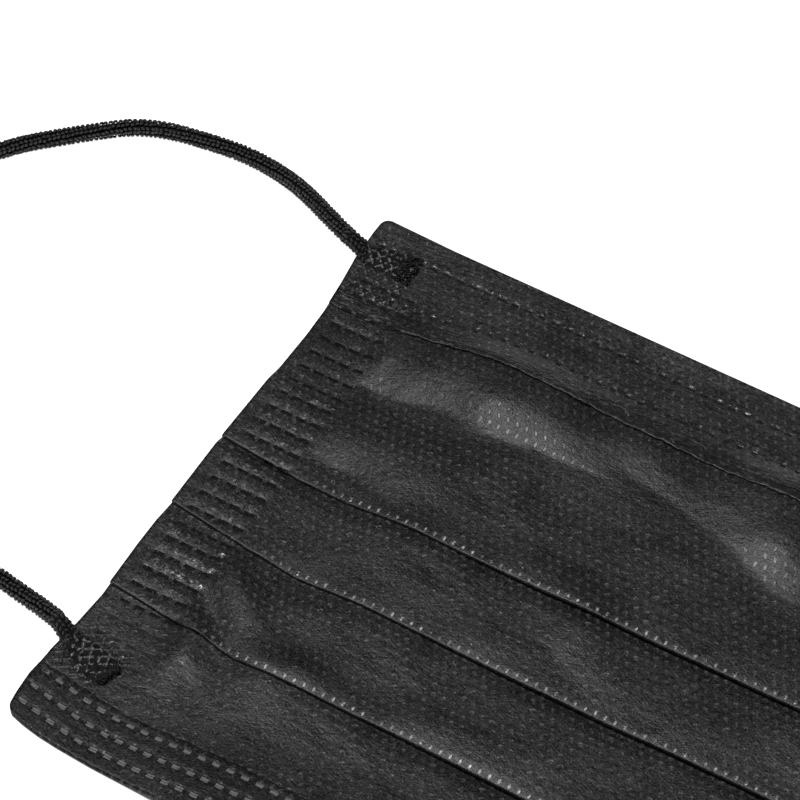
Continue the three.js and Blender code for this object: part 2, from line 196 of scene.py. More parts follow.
# Weld marks. The side bands have columns from the first to the last one, in rows at an even pitch.
SIDE_WELD = Sizes(first=77.7, column=2.23, columns=4, row=28.6, pitch=2.79, width=1.6, height=0.62,
                  depth=0.16, puff=0.05)
NOSE_WELD = Sizes(pitch=2.1, width=1.3, height=0.45, row=42.2, row_at_side=43.5, dots=36.2, dot=0.85,
                  depth=0.12, valley=0.13)
CHIN_WELD = Sizes(row=-40.3, pitch=2.65, column=2.1, outer_column=2.32, outer_from=75.6, width=1.25,
                  height=0.8, depth=0.17, lift=1.75, lift_from=75, lift_over=12.2)
BOND = Sizes(pitch=1.4, row=1.38, above_fold=0.55, half_width=0.22, half_height=0.38, lean=0.45)

# The spacing of a mesh's rows across the cloth, and the number of rows in a stretch that doesn't show
ROWS = Sizes(body=0.36, hem=0.27, hidden=6, under=7)


# What numpy calls the steps that have another name in a Math node
ARRAY_NAMES = {"COSINE": "cos", "EXPONENT": "exp"}


def step(operation, *values):
    """One step of arithmetic, on arrays of numbers or on numbers that flow through a material's nodes."""
    flow = next((value for value in values if isinstance(value, Flow)), None)
    if flow is None:
        return getattr(np, ARRAY_NAMES.get(operation, operation.lower()))(*values)
    node = flow.tree.nodes.new("ShaderNodeMath")
    node.operation = operation
    for socket, value in zip(node.inputs, values):
        feed(socket, value)
    return Flow(flow.tree, node.outputs[0])


class Flow:
    """A number that flows through a material's nodes. Arithmetic on it adds Math nodes."""

    __array_ufunc__ = None  # Leaves arithmetic with numpy's numbers to this class

    def __init__(self, tree, socket):
        self.tree = tree
        self.socket = socket


def operator(operation, swapped=False):
    """A method that does one step of arithmetic with a Flow."""
    def method(flow, other):
        return step(operation, *((other, flow) if swapped else (flow, other)))

    return method


for name, operation in (("add", "ADD"), ("sub", "SUBTRACT"), ("mul", "MULTIPLY"), ("truediv", "DIVIDE")):
    setattr(Flow, f"__{name}__", operator(operation))
    setattr(Flow, f"__r{name}__", operator(operation, swapped=True))


def feed(socket, value):
    """Gives a node's input a number, or links a flowing number to it."""
    if isinstance(value, Flow):
        value.tree.links.new(value.socket, socket)
    else:
        socket.default_value = value


size, lowest, highest = (partial(step, operation) for operation in ("ABSOLUTE", "MINIMUM", "MAXIMUM"))


def distance(across, up):
    return step("SQRT", across * across + up * up)


def bell(value):
    """1 at zero, falling smoothly to nothing by about 2."""
    return step("EXPONENT", value * value * -1)


def wave(value, pitch):
    """1 at each whole pitch and -1 between."""
    return step("COSINE", value * (2 * math.pi / pitch))


def nearest(value, pitch):
    """The number of the nearest whole pitch."""
    return step("FLOOR", value / pitch + 0.5)


def past_nearest(value, pitch):
    """How far a value lies past the nearest whole pitch."""
    return value - nearest(value, pitch) * pitch


def within(value, low, high, soft):
    """1 between low and high, with soft ends."""
    half = soft / 2
    return smoothstep(value, low - half, low + half) * smoothstep(value, high + half, high - half)


def smoothstep(value, low, high):
    """0 at low and 1 at high, eased at both ends. High may be under low."""
    share = lowest(highest((value - low) / (high - low), 0.0), 1.0)
    return share * share * (3 - 2 * share)


def mix(start, end, share):
    return start + (end - start) * share


# ---- The patterns of the cloth. Each works on mesh points and in materials alike. ----


def mark(across, up, width, height, soft=0.16):
    """1 inside a rounded rectangle about the origin."""
    beside = smoothstep(size(across), width / 2, width / 2 - soft)
    return beside * smoothstep(size(up), height / 2, height / 2 - soft)


def bond_place(u, v):
    """How far across and up from the nearest bond point's middle, as shares of the point's half size."""
    up = v - BOND.above_fold
    row = nearest(up, BOND.row)
    odd = row - 2 * step("FLOOR", row / 2)
    across = past_nearest(u + odd * (BOND.pitch / 2), BOND.pitch)
    up = up - row * BOND.row
    across = across + up * odd * BOND.lean
    return across / BOND.half_width, up / BOND.half_height


def side_weld(x, y):
    """The weld marks of the side bands, 1 inside a mark."""
    weld = SIDE_WELD
    along = size(x) - weld.first
    column = lowest(highest(nearest(along, weld.column), 0.0), weld.columns - 1.0)
    up = past_nearest(y - weld.row, weld.pitch)
    return mark(along - column * weld.column, up, weld.width, weld.height)


def side_puff(x, y):
    """Where cloth puffs up along the upper side of the side bands' marks, for a painted highlight."""
    weld = SIDE_WELD
    along = size(x) - weld.first - 1.5 * weld.column
    up = past_nearest(y - weld.row - 0.9, weld.pitch)
    beside = bell(past_nearest(along - 1.1, weld.column) / 0.9)
    inner = smoothstep(along, 3.0, -2.0)
    return bell(up / 0.45) * within(along, -4.6, 4.6, 1.5) * (0.3 + 0.7 * beside) * (0.35 + 0.65 * inner)


def side_weld_strength(y):
    """How deeply the side bands are welded: less where there is only one layer."""
    over_hem = smoothstep(y, 26.0, 30.0)
    pleated = within(y, -24.0, 15.5, 2.0)
    single = 0.15 + 0.4 * smoothstep(y, 5.0, 15.0)
    return within(y, -37.5, 38.0, 1.0) * mix(single, 1.0, highest(pleated, over_hem * 0.7))


def nose_rows(x, y):
    """How far a place lies above the nose hem's row of dashes and above its row of dots."""
    weld = NOSE_WELD
    along = size(x)
    row = mix(weld.row, weld.row_at_side, smoothstep(along, 24.0, 66.0))
    dots = weld.dots + 0.4 * within(along, 50.0, 68.0, 10.0) - 0.7 * smoothstep(along, 68.0, 76.0)
    return y - row, y - dots


def nose_weld(x, y):
    """The weld marks of the nose hem: a row of dashes and a row of dots."""
    weld = NOSE_WELD
    along = size(x)
    across = past_nearest(along, weld.pitch)
    above_row, above_dots = nose_rows(x, y)
    dash = mark(across, above_row, weld.width, weld.height)
    dot = mark(across, above_dots, weld.dot, weld.dot, 0.3)
    return highest(dash, dot) * smoothstep(along, 86.5, 86.0)


def chin_weld_row(x):
    """The height of the chin hem's first weld row, which lifts towards the corners."""
    weld = CHIN_WELD
    outer = highest((size(x) - weld.lift_from) / weld.lift_over, 0.0)
    return weld.row + weld.lift * step("POWER", outer, 1.5)


def chin_weld(x, y):
    """The weld marks of the chin hem, in three rows, each mark with two fine ribs."""
    weld = CHIN_WELD
    along = size(x) - weld.outer_from
    column = highest(along, 0.0) / weld.outer_column + lowest(along, 0.0) / weld.column
    across = past_nearest(column, 1.0) * weld.column
    down = chin_weld_row(x) - y
    row = lowest(highest(nearest(down, weld.pitch), 0.0), 2.0)
    return mark(across, down - row * weld.pitch, weld.width, weld.height, 0.11)


def lattice(along, across):
    """The pressed lattice of a welded cord end: 1 on its ribs."""
    cell = LATTICE.cell
    first = LATTICE.along * along + LATTICE.across * across
    second = LATTICE.along * along - LATTICE.across * across
    nearer = lowest(size(past_nearest(first, cell)), size(past_nearest(second, cell)))
    return bell(nearer / LATTICE.rib)


# ---- Shapes ----


def spline(points, spacing):
    """Points at a spacing in millimetres along a smooth curve through the given points."""
    points = np.array(points, float)
    through = np.concatenate([[2 * points[0] - points[1]], points, [2 * points[-1] - points[-2]]])
    fine = []
    for before, start, end, after in zip(through, through[1:], through[2:], through[3:]):
        steps = (start - before, end - start, after - end)
        knots = np.cumsum([0, *(np.linalg.norm(one) ** 0.5 for one in steps)])
        t = np.linspace(knots[1], knots[2], 24, endpoint=False)[:, None]

        def blend(low, high, first, second):
            low, high = knots[low], knots[high]
            return (high - t) / (high - low) * first + (t - low) / (high - low) * second

        middle = blend(1, 2, start, end)
        early = blend(0, 2, blend(0, 1, before, start), middle)
        fine.append(blend(1, 2, early, blend(1, 3, middle, blend(2, 3, end, after))))
    fine = np.concatenate([*fine, points[-1:]])
    along = np.concatenate([[0], np.cumsum(np.linalg.norm(np.diff(fine, axis=0), axis=1))])
    wanted = np.linspace(0, along[-1], round(along[-1] / spacing) + 1)
    return np.stack([np.interp(wanted, along, fine[:, axis]) for axis in range(3)], axis=1)


def mesh_object(name, points, faces, material, inner=None, inner_faces=0):
    """A smooth-shaded object from points in millimetres. Its first faces may have an inner material."""
    mesh = bpy.data.meshes.new(name)
    mesh.from_pydata((np.asarray(points) * MM).tolist(), [], faces)
    mesh.shade_smooth()
    mesh.materials.append(material)
    if inner:
        mesh.materials.append(inner)
        mesh.polygons.foreach_set("material_index", [1] * inner_faces + [0] * (len(faces) - inner_faces))
    return add_object(name, mesh)


def add_object(name, data):
    thing = bpy.data.objects.new(name, data)
    bpy.context.scene.collection.objects.link(thing)
    return thing


def outline(table, along):
    return np.interp(along, *zip(*table))


def curve_height(knots, at):
    """The height at given places of a smooth curve through knots that run from high to low places."""
    through = spline([(place, height, 0) for place, height in knots], 0.25)[::-1]
    return np.interp(at, through[:, 0], through[:, 1])


def ripple(x, y):
    """Faint waves over the open cloth, always the same."""
    numbers = np.random.default_rng(RIPPLE.seed)
    total = 0
    for _ in range(RIPPLE.waves):
        length = numbers.uniform(RIPPLE.shortest, RIPPLE.longest)
        heading = numbers.uniform(0.15 * math.pi, 0.85 * math.pi)
        start = numbers.uniform(0, 2 * math.pi)
        total = total + np.cos(2 * math.pi / length * (x * math.cos(heading) + y * math.sin(heading)) + start)
    return RIPPLE.height * total / math.sqrt(RIPPLE.waves)


def openness(x):
    """0 on the side bands and 1 in the open cloth."""
    return smoothstep(np.abs(x), BAND_INNER, OPEN_FROM)


def fullness(x):
    """0 on the side bands and 1 where the cloth has risen to its full height."""
    return smoothstep(np.abs(x), BAND_INNER + 1, FULL_FROM)


def swelling(x, y):
    """How far the cloth swells or ripples out of its plain form."""
    total = 0
    for crest_x, crest_y, skew, along, above, below, height in BULGES:
        wander = 0.6 * np.sin(x / 4.3 + crest_x) + 0.25 * np.sin(x / 1.9 + crest_y)
        up = y - crest_y - skew * (x - crest_x) - wander
        falling = np.cos(math.pi / 2 * np.clip(-up / below, 0, 1))
        across = np.where(up > 0, bell(up / above), falling)
        total = total + height * bell((x - crest_x) / along) * across
    total = total * smoothstep(np.abs(x), 80.0, 75.0) + ripple(x, y) * smoothstep(np.abs(x), 80.0, 62.0)
    return total * smoothstep(y, -37.5, -30.5) * smoothstep(y, 40.0, 32.0)


def fold_at(pleat, x):
    """The height of a pleat's folded edge."""
    across_band = np.clip((np.abs(x) - BAND_INNER) / SIDE_BAND, 0, 1)
    in_band = mix(pleat.at_band, pleat.at_side, across_band)
    wander = 0.12 * np.sin(x / 9.0 + pleat.open) * openness(x)
    return mix(in_band, pleat.open, openness(x)) + wander


def layer_pitch(x):
    return mix(PITCH.band, PITCH.open, fullness(x))


def first_panel_level(x, y):
    open_level = curve_height(FIRST_PANEL, y)
    climbed = smoothstep(y, BAND_LEVEL.climbs_from, BAND_LEVEL.climbs_to)
    band_level = mix(BAND_LEVEL.single, BAND_LEVEL.triple, climbed)
    return mix(band_level, open_level, fullness(x)) + swelling(x, y)


def last_panel_level(x, y):
    rise = CHIN_RISE.height * smoothstep(y, CHIN_RISE.start, CHIN_RISE.stop)
    return mix(BAND_LEVEL.single, LAST_PANEL.level + rise, fullness(x)) + swelling(x, y)


def panel_levels(x):
    """Each panel's height as a function of y, for the stations x, without the droop at its fold."""
    levels = [lambda y: first_panel_level(x, y)]
    for upper, lower, middle in zip(PLEATS, PLEATS[1:] + [None], MIDDLE_PANELS + [None]):
        above = levels[-1]
        fold = fold_at(upper, x)
        if lower is None:
            settled = fold - LAST_PANEL.settles_over
            own = last_panel_level
        else:
            settled = fold_at(lower, x) + PLEAT_DEPTH + 0.3

            def own(x, y, middle=middle, fold=fold, low=fold_at(lower, x)):
                open_level = middle.level - middle.fall * np.clip((fold - y) / (fold - low), 0, 1)
                return mix(BAND_LEVEL.triple, open_level, fullness(x)) + swelling(x, y)

        def level(y, above=above, fold=fold, settled=settled, own=own):
            under = above(np.maximum(y, fold)) - 2 * layer_pitch(x)
            dip = GAPE.depth * smoothstep(np.abs(x), GAPE.start, GAPE.full)
            dip = dip * bell((y - fold) / GAPE.half)
            return mix(under, own(x, y), smoothstep(y, fold + 0.2, settled)) - dip

        levels.append(level)
    return levels


def panel(top, bottom, count, level, v_at):
    """Rows of a sheet's middle surface: each one's y, its height and its distance along the cloth."""
    places = (mix(top, bottom, share) for share in np.linspace(0, 1, count))
    return [(y, level(y), v_at(y)) for y in places]


def half_turn(y, upper_z, lower_z, side, v_at, reach=None, count=7):
    """Rows round a fold that bulges from y to side -1 or 1, by a reach. v_at takes the run round the fold."""
    radius = (upper_z - lower_z) / 2
    reach = radius if reach is None else reach
    return [(y + side * reach * math.sin(angle), (upper_z + lower_z) / 2 + radius * math.cos(angle),
             v_at(angle * reach)) for angle in np.linspace(0, math.pi, count)[1:-1]]


def body_rows(x):
    rows = []
    levels = panel_levels(x)
    folds = [fold_at(pleat, x) for pleat in PLEATS]
    pitch = layer_pitch(x)
    radius = pitch / 2
    droop = openness(x) * DROOP.depth
    top = np.full_like(x, BODY_EDGE)
    visible_from = np.full_like(x, NOSE_RAW_EDGE - 1.5)
    chin_raw = np.full_like(x, CHIN_RAW_EDGE)
    for fold, next_fold, level, next_level in zip(folds, [*folds[1:], chin_raw], levels, levels[1:]):
        upper = lambda y: level(y) - droop * np.exp(-np.maximum(y - fold, 0) / DROOP.width)
        under = lambda y: upper(y) - pitch
        v_at = lambda y: y - fold
        rows += panel(top, visible_from, ROWS.hidden, upper, v_at)
        seen = fold + radius
        count = round(float(np.max(visible_from - seen)) / ROWS.body)
        rows += panel(mix(visible_from, seen, 1 / count), seen, count, upper, v_at)
        rows += half_turn(seen, upper(seen), under(seen), -1, lambda run: radius - run)
        inner = fold + PLEAT_DEPTH - radius
        rows += panel(seen, inner, ROWS.under, under, lambda y: seen - y - 2 * radius)
        v_inner = seen - inner - 2 * radius
        rows += half_turn(inner, under(inner), next_level(inner), 1, lambda run: v_inner - run)
        rows.append((inner, next_level(inner), inner - next_fold))
        top = inner - 0.8
        visible_from = fold + 0.4
    level = levels[-1]
    v_at = lambda y: y - chin_raw
    rows += panel(top, visible_from, ROWS.hidden, level, v_at)
    rows += panel(visible_from - ROWS.body, chin_raw + 1.2, 34, level, v_at)
    rows += panel(chin_raw, np.full_like(x, -BODY_EDGE), ROWS.hidden, level, v_at)
    return rows


def sheet_mesh(name, x, rows, material, shape):
    """A closed sheet from rows of its middle surface at the stations x. shape moves the finished points."""
    y, z, v = (np.array(values) for values in zip(*rows))
    wide_x = np.broadcast_to(x, y.shape)
    along_y, along_z = np.gradient(y, axis=0), np.gradient(z, axis=0)
    run = np.hypot(along_y, along_z)
    normal_y, normal_z = along_z / run, -along_y / run
    layers = []
    for side in (1, -1):
        layer = [wide_x, y + side * normal_y * CLOTH / 2, z + side * normal_z * CLOTH / 2]
        layers.append(shape(np.stack(layer, axis=-1), side))
    points = np.concatenate([layer.reshape(-1, 3) for layer in layers])
    down, across = y.shape
    upper = np.arange(down * across).reshape(down, across)
    under = upper + down * across
    faces = []
    for number, order in ((upper, 1), (under, -1)):
        corners = (number[:-1, :-1], number[1:, :-1], number[1:, 1:], number[:-1, 1:])
        faces.append(np.stack(corners[::order], -1).reshape(-1, 4))
    for edge in (np.s_[0, ::-1], np.s_[-1], np.s_[:, 0], np.s_[::-1, -1]):
        outer, inner = upper[edge], under[edge]
        faces.append(np.stack([outer[1:], outer[:-1], inner[:-1], inner[1:]], -1))
    faces = np.concatenate(faces)
    piece = mesh_object(name, points, faces.tolist(), material)
    places = [np.tile(values.ravel(), 2)[faces] for values in (wide_x, v)]
    piece.data.uv_layers.new(name="cloth").data.foreach_set("uv", np.stack(places, -1).ravel())
    return piece


def past_corner(depth):
    """How far a rounded corner's outline lies inside the corner, at a depth from the edge."""
    depth = np.clip(depth, 0, CORNER)
    return CORNER - np.sqrt(CORNER ** 2 - (CORNER - depth) ** 2)


def stretch_to_outline(layer, rounded_at=None):
    """Moves the ends of the rows out or in to the side's wavy outline, and rounds the corners of a hem."""
    x, y = layer[..., 0], layer[..., 1]
    share = np.clip((np.abs(x) - BAND_INNER) / SIDE_BAND, 0, 1)
    mirrored = np.where(x < 0, y, y + 7)
    offset = outline(SIDE_OUTLINE, mirrored)
    if rounded_at is not None:
        offset = offset - past_corner(np.abs(rounded_at - y))
    layer[..., 0] = x + np.sign(x) * offset * share
    return layer


def band_relief(x, y):
    """The side bands' welded rows: sunk marks, and soft puffs between the rows."""
    inside = within(np.abs(x), 76.2, 86.6, 1.4)
    strength = side_weld_strength(y)
    column = wave(np.abs(x) - SIDE_WELD.first, SIDE_WELD.column)
    puff = -SIDE_WELD.puff * wave(y - SIDE_WELD.row, SIDE_WELD.pitch) * (0.75 + 0.25 * column)
    return (puff - SIDE_WELD.depth * side_weld(x, y)) * strength * inside


def make_body(material):
    def shape(layer, side):
        layer = stretch_to_outline(layer)
        layer[..., 2] += band_relief(layer[..., 0], layer[..., 1]) * (0.8 if side > 0 else 0.5)
        return layer

    rows = body_rows(BODY_STATIONS)
    return sheet_mesh("folded_cloth", BODY_STATIONS, rows, material, shape)


def hem_rows(x, edge, raw_edge, lip, level):
    """A hem's rows: from the raw edge of its flap over the roll at the mask's edge to the lip underneath."""
    outward = math.copysign(1, edge[0])
    centre = edge - outward * ROLL
    v_at = lambda y: outward * (y - raw_edge)
    v_centre = v_at(centre)
    v_turned = v_centre + ROLL * math.pi
    low = np.full_like(x, CLOTH / 2)
    count = round(float(np.max(np.abs(edge - raw_edge))) / ROWS.hem)
    rows = panel(raw_edge, centre, count, level, v_at)
    rows += half_turn(centre, level(centre), low, outward, lambda run: v_centre + run, ROLL, 9)
    return rows + panel(centre, lip, 5, lambda y: low, lambda y: v_turned + outward * (centre - y))


def nose_hem_level(x, y):
    ridge = within(y, CHANNEL.low, CHANNEL.high, CHANNEL.slope) * CHANNEL.height
    ridge = ridge * smoothstep(np.abs(x), CHANNEL.half + CHANNEL.run_out, CHANNEL.half)
    return first_panel_level(x, np.minimum(y, BODY_EDGE)) + HEM_LIFT + ridge


def chin_hem_level(x, y):
    lift = mix(HEM_LIFT, 0.5 * HEM_LIFT, smoothstep(y, CHIN_RAW_EDGE - 1.6, CHIN_RAW_EDGE))
    return last_panel_level(x, y) + lift


def nose_relief(x, y):
    corner = smoothstep(np.abs(x), 75.5, 77.5)
    above_row, above_dots = nose_rows(x, y)
    valley = bell(above_row / 0.65) + 0.5 * bell(above_dots / 0.65)
    valley = valley * (0.7 + 0.3 * wave(x, NOSE_WELD.pitch))
    rows = (NOSE_WELD.depth * nose_weld(x, y) + NOSE_WELD.valley * valley) * (1 - 0.7 * corner)
    return band_relief(x, y) * smoothstep(y, 40.5, 38.0) - rows


def chin_relief(x, y):
    return -CHIN_WELD.depth * chin_weld(x, y)


def make_hem(name, edge_table, raw_table, sign, edge, raw_edge, level, relief, material, thinned=0.0):
    x = HEM_STATIONS
    edge = edge + outline(edge_table, np.abs(x))
    raw = raw_edge + outline(raw_table, np.abs(x)) + 0.08 * np.sin(x * 1.7) + 0.06 * np.sin(x * 4.1)
    rows = hem_rows(x, edge, raw, edge - sign * HEM_LIP, lambda y: level(x, y))
    on_top = np.arange(len(rows))[:, None] < len(rows) - 12

    def shape(layer, side):
        layer = stretch_to_outline(layer, edge)
        layer[..., 2] += relief(layer[..., 0], layer[..., 1]) * on_top * (1 if side > 0 else 0.4)
        if side > 0:
            layer[..., 2] -= thinned * smoothstep(sign * (layer[..., 1] - raw), 0.7, 0.0) * on_top
        return layer

    return sheet_mesh(name, x, rows, material, shape)


BODY_STATIONS = np.concatenate([
    np.linspace(BAND_INNER, HALF_LENGTH, 31),
    np.linspace(OPEN_FROM, BAND_INNER, 15)[:-1],
    np.linspace(0, OPEN_FROM, 45)[:-1],
])
BODY_STATIONS = np.unique(np.concatenate([BODY_STATIONS, -BODY_STATIONS]))
HEM_STATIONS = np.linspace(-HALF_LENGTH, HALF_LENGTH, 351)


# ---- Cords ----


def directions_across(ahead):
    """The side and the upper direction across each direction that runs nearly level."""
    side = np.cross(ahead, (0, 0, 1.0))
    side /= np.linalg.norm(side, axis=1)[:, None]
    return side, np.cross(side, ahead)


def frames_along(route):
    """The tangent, the side and the upper direction at each point of a route."""
    tangent = np.gradient(route, axis=0)
    tangent /= np.linalg.norm(tangent, axis=1)[:, None]
    return tangent, *directions_across(tangent)


def turns_of(sides):
    return np.arange(sides) * 2 * math.pi / sides


def section_tube(route, half_width, half_thick, turns):
    """The points and faces of a closed tube with elliptical sections at the given turns."""
    tangent, side, up = frames_along(route)
    wide = half_width[:, None, None] * np.cos(turns)[None, :, None]
    high = half_thick[:, None, None] * np.sin(turns)[None, :, None]
    points = route[:, None] + side[:, None] * wide + up[:, None] * high
    return points, tube_faces(len(route), len(turns))


def tube_faces(rings, sides):
    number = np.arange(rings * sides).reshape(rings, sides)
    after = np.roll(number, -1, axis=1)
    quads = np.stack([number[:-1], number[1:], after[1:], after[:-1]], -1).reshape(-1, 4).tolist()
    return [*quads, number[0].tolist(), number[-1, ::-1].tolist()]


def rods(axis, outward, beside, radii):
    """Closed round rods from their axis points, two directions across them, and a radius at each point."""
    sides = 5
    angles = turns_of(sides)
    ring = np.cos(angles)[:, None] * outward[..., None, :] + np.sin(angles)[:, None] * beside[..., None, :]
    points = axis[..., None, :] + radii[:, None, None] * ring
    one = tube_faces(axis.shape[1], sides)
    faces = []
    for base in range(0, axis.shape[0] * axis.shape[1] * sides, axis.shape[1] * sides):
        faces.extend([base + corner for corner in face] for face in one)
    return points.reshape(-1, 3), faces


def knit(route, half_width, half_thick):
    """The legs of the stitches round a cord: short rods in V-shaped pairs, in columns."""
    spacing = np.linalg.norm(route[1] - route[0])
    total = spacing * (len(route) - 1)
    tangent, side, up = frames_along(route)
    places = np.arange(len(route)) * spacing
    starts = np.arange(0, total - KNIT.leg_length * 0.9, KNIT.pitch)
    columns = turns_of(KNIT.columns)
    start, column, hand = (grid.ravel() for grid in np.meshgrid(starts, columns, (-1.0, 1.0), indexing="ij"))
    start = start + (np.round(column / columns[1]) % 2) * KNIT.pitch / 2
    numbers = np.random.default_rng(len(start))
    start = start + numbers.uniform(-1, 1, len(start)) * KNIT.uneven
    column = column + numbers.uniform(-1, 1, len(start)) * KNIT.sway
    loose = numbers.uniform(-1, 1, len(start))[:, None] * KNIT.loose
    shares, swell, sunk = (np.array(LEG[key]) for key in ("at", "swell", "sunk"))
    run = np.minimum(start[:, None] + shares * KNIT.leg_length, total)

    def at_run(values):
        return np.stack([np.interp(run, places, values[:, axis]) for axis in range(3)], -1)

    middle, ahead, sideways, upwards = at_run(route), at_run(tangent), at_run(side), at_run(up)
    wide = np.interp(run, places, half_width)
    high = np.interp(run, places, half_thick)
    spread = hand[:, None] * mix(KNIT.spread_from, KNIT.spread_to, shares)
    turn = column[:, None] + run * 2 * math.pi / KNIT.turn_every + spread / wide
    outward = np.cos(turn)[..., None] * sideways + np.sin(turn)[..., None] * upwards
    wide = wide - KNIT.leg_radius - sunk + loose
    high = np.maximum(high - KNIT.leg_radius - sunk + loose, 0.02)
    axis = middle + (np.cos(turn) * wide)[..., None] * sideways + (np.sin(turn) * high)[..., None] * upwards
    return rods(axis, outward, np.cross(ahead, outward), KNIT.leg_radius * swell)


def tuft(end, numbers):
    """The cut strands at a cord's welded end: short rods heaped across it, each with its own heading."""
    start, stop = np.array(end.start[:2]), np.array(end.cut)
    ahead = (stop - start) / np.linalg.norm(stop - start)
    beside = np.array([-ahead[1], ahead[0]])
    count = TUFT.strands
    across = numbers.uniform(-1, 1, count)
    along = numbers.uniform(end.tuft_from, 0.97, count) * np.linalg.norm(stop - start)
    heading = numbers.normal(0, TUFT.turned, count) + across * TUFT.splayed
    rise = numbers.normal(0, TUFT.tilted, count)
    crest = TUFT.height * np.sqrt(1 - 0.8 * across ** 2)
    height = end.seat + numbers.uniform(0.1, 1.0, count) * crest
    level = start + ahead * along[:, None] + beside * (across * end.tuft_half)[:, None]
    middle = np.column_stack([level, height])
    flat = np.cos(heading)[:, None] * ahead + np.sin(heading)[:, None] * beside
    direction = np.column_stack([flat, rise])
    direction /= np.linalg.norm(direction, axis=1)[:, None]
    shares = np.array([-0.5, -0.3, 0.3, 0.5])
    length = TUFT.length * numbers.uniform(0.6, 1.2, count)
    axis = middle[:, None] + (shares * length[:, None])[..., None] * direction[:, None]
    axis[..., 2] = np.maximum(axis[..., 2], end.seat - 0.05)
    sideways, upright = directions_across(direction)
    radii = TUFT.radius * np.array([0.6, 1.0, 1.0, 0.6])
    return rods(axis, sideways[:, None], upright[:, None], radii)


def joined(*parts):
    """Several lots of points and faces as one."""
    points, faces, base = [], [], 0
    for part_points, part_faces in parts:
        part_points = np.asarray(part_points).reshape(-1, 3)
        points.append(part_points)
        faces.extend([base + corner for corner in face] for face in part_faces)
        base += len(part_points)
    return np.concatenate(points), faces


def make_cord(node, route, material, core_material):
    path = spline(route, CORD_STEP)
    radius = np.full(len(path), CORD_DIAMETER / 2)
    core = section_tube(path, radius * KNIT.core, radius * KNIT.core, turns_of(KNIT.core_sides))
    proud = radius + KNIT.proud
    points, faces = joined(core, knit(path, proud, proud))
    cord = mesh_object(node + "_knit", points, faces, material, core_material, len(core[1]))
    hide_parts(node)
    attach(cord, "root")


def make_cord_end(end, knit_material, cut_material, weld_material):
    """A loop's flattened end: a thin pad with a pressed lattice, the knit that runs onto it, and a tuft."""
    start, stop = np.array(end.start), np.array(end.cut)
    shares = np.linspace(-PAD.overlap, 1, PAD.rings)
    half, thick, settled = (np.interp(shares, FLATTENING["at"], FLATTENING[key])
                            for key in ("half", "thick", "settled"))
    height = mix(start[2], end.seat - thick * 0.35, settled)
    route = np.column_stack([start[:2] + (stop - start[:2]) * shares[:, None], height])
    turns = turns_of(PAD.sides)
    points, faces = section_tube(route, half * mix(0.85, 1.0, settled), thick * mix(0.8, 1.0, settled), turns)
    along = (shares * np.linalg.norm(stop - start[:2]))[:, None]
    across = half[:, None] * np.cos(turns)
    on_top = smoothstep(np.sin(turns), -0.1, 0.4)[None, :]
    ribs = lattice(along, across) * within(shares, 0.4, 0.84, 0.1)[:, None]
    points[..., 2] += on_top * LATTICE.height * ribs
    pad = mesh_object(end.name + "_pad", points.reshape(-1, 3), faces, weld_material)
    until = round(PAD.knit_until * len(route))
    knit_route = spline(route[:until:7], 0.25)
    even = np.linspace(0, until - 1, len(knit_route))
    sunk = PAD.knit_sinks * smoothstep(even, until * 0.6, until)
    outer, upper = (np.interp(even, np.arange(until), whole[:until] + PAD.knit_over)
                    for whole in (half, thick))
    numbers = np.random.default_rng(round(1000 + 10 * abs(start[1]) + start[0]))
    strands = tuft(end, numbers)
    stitches = joined(strands, knit(knit_route, outer, upper - sunk + PAD.knit_proud))
    stitches = mesh_object(end.name + "_strands", *stitches, knit_material, cut_material, len(strands[1]))
    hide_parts(end.name)
    for piece, slot in ((pad, "welded_cord"), (stitches, "elastic_cord")):
        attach(piece, "root")


# ---- Materials ----


def set_inputs(node, values):
    for name, value in values.items():
        node.inputs[name].default_value = value


def new_material(name, colour, roughness, specular):
    material = bpy.data.materials.new(name)
    material.use_nodes = True
    shader = material.node_tree.nodes["Principled BSDF"]
    set_inputs(shader, {"Base Color": (*colour, 1), "Roughness": roughness, "Specular IOR Level": specular})
    return material, material.node_tree, shader


def split_vector(tree, socket, scale=1.0):
    """The three numbers of a vector, each as a Flow."""
    node = tree.nodes.new("ShaderNodeSeparateXYZ")
    tree.links.new(socket, node.inputs[0])
    return [Flow(tree, output) * scale for output in node.outputs]


def cloth_place(tree):
    """The place along the mask and the distance across a panel, in millimetres, from the cloth's own map."""
    node = tree.nodes.new("ShaderNodeUVMap")
    node.uv_map = "cloth"
    return split_vector(tree, node.outputs["UV"])[:2]


def place(tree):
    """The x, y and z of a surface point in millimetres."""
    node = tree.nodes.new("ShaderNodeTexCoord")
    return split_vector(tree, node.outputs["Object"], 1 / MM)


def vector(x, y, z=0.0):
    node = x.tree.nodes.new("ShaderNodeCombineXYZ")
    for socket, value in zip(node.inputs, (x, y, z)):
        feed(socket, value)
    return node.outputs[0]


def noise(x, y, z=0.0, detail=2.0, roughness=0.5, distortion=0.0):
    """Smooth noise about 0.5, with one bump to each unit."""
    node = x.tree.nodes.new("ShaderNodeTexNoise")
    x.tree.links.new(vector(x, y, z), node.inputs["Vector"])
    set_inputs(node, {"Scale": 1, "Detail": detail, "Roughness": roughness, "Distortion": distortion})
    return Flow(x.tree, node.outputs["Fac"])


def fibres(u, v, lean, width, length):
    """Noise drawn out into streaks that lean by an angle in degrees from the u direction."""
    angle = math.radians(lean)
    along = u * math.cos(angle) + v * math.sin(angle)
    across = v * math.cos(angle) - u * math.sin(angle)
    return noise(across / width, along / length, lean / 10.0, detail=3.0, roughness=0.6)


